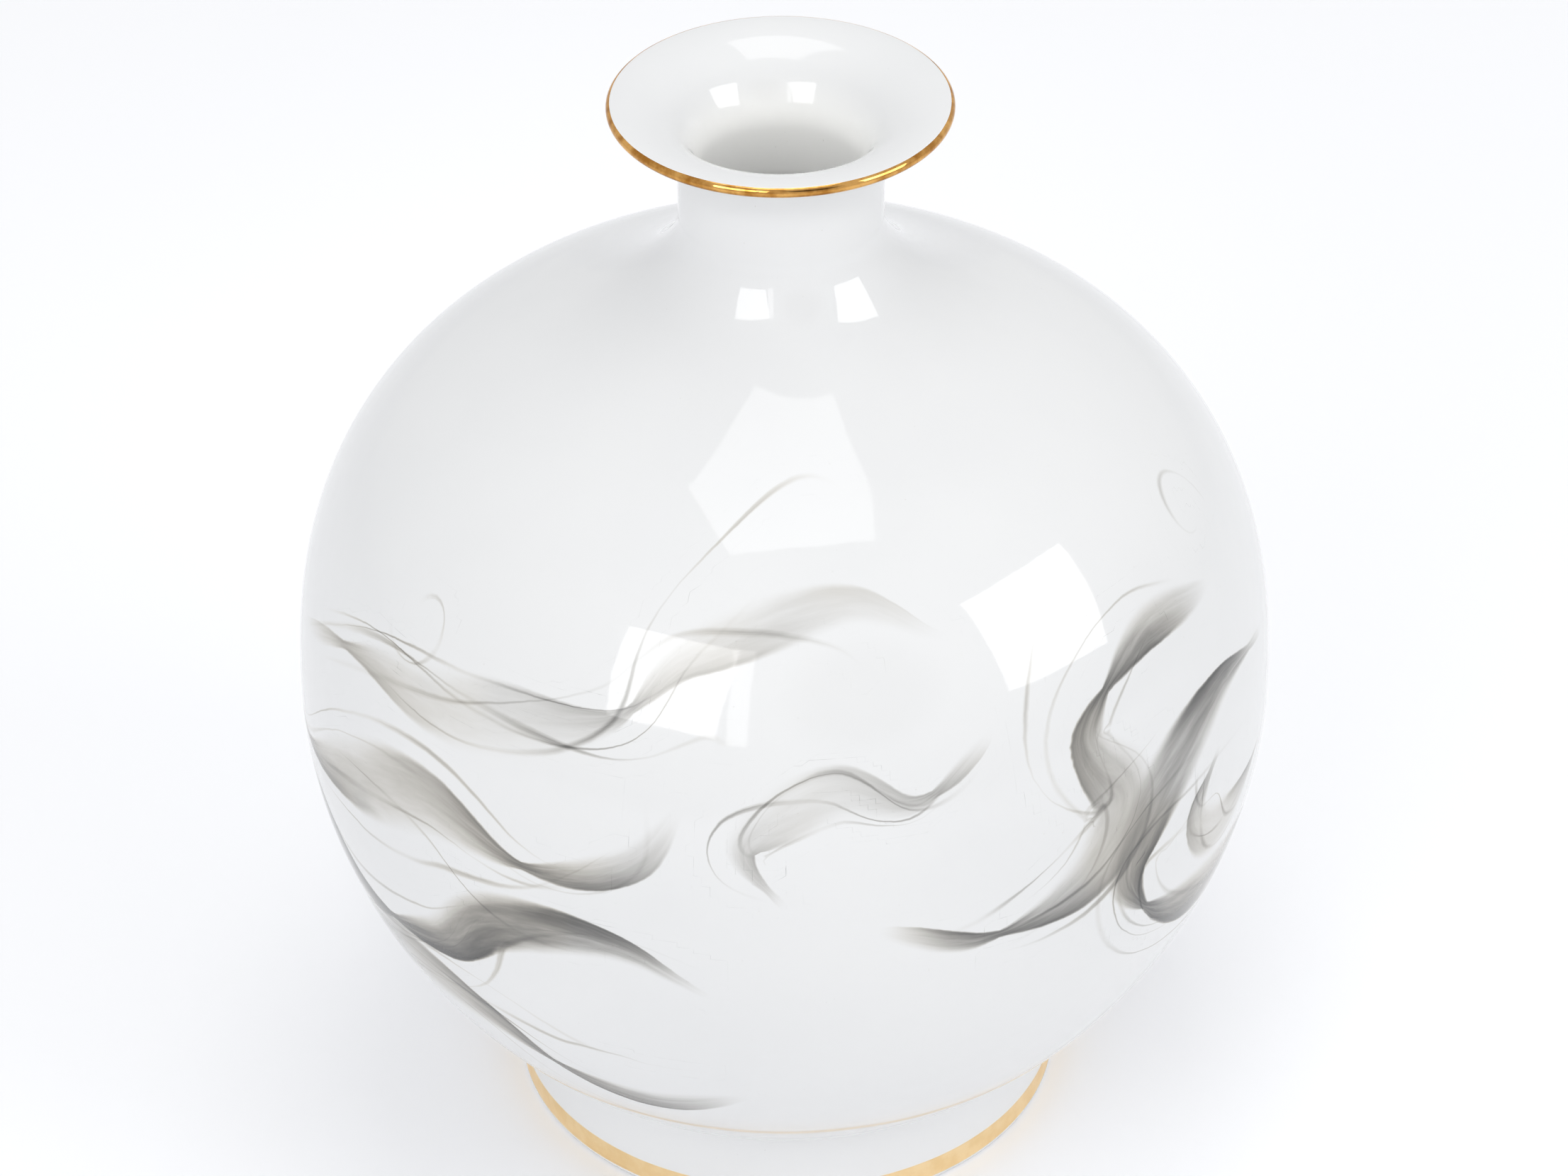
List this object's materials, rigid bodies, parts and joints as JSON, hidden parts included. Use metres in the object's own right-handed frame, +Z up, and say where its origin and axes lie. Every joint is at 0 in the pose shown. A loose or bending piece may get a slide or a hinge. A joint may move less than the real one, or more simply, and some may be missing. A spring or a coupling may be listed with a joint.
{
  "type": "vase",
  "caption": "Globe-bodied porcelain vase with a short flared neck, a gilded lip and a gilded ring foot, decorated with drifting grey smoke.",
  "frame": {"origin": "centre of the ring foot's standing plane, on the vase's axis", "axes": "+Z up along the axis the vase is turned about; +X to the right and -Y towards the viewer, with the decoration's main side facing -Y"},
  "size_m": [0.3, 0.3, 0.351],
  "materials": {
    "neck_porcelain": "clear gloss glaze over white porcelain",
    "body_porcelain": "clear gloss glaze over white porcelain with a grey smoke decoration under it",
    "foot_porcelain": "clear gloss glaze, with an unglazed ring where it stands",
    "polished_gold": "polished bright gold, fired on",
    "satin_gold": "burnished satin gold, fired on"
  },
  "bodies": {
    "root": {"neck_and_lip": "neck_porcelain", "upper_body": "body_porcelain", "lower_body": "body_porcelain", "foot_ring": "foot_porcelain", "rim_gilding": "polished_gold", "foot_gilding": "satin_gold"}
  },
  "joints": []
}
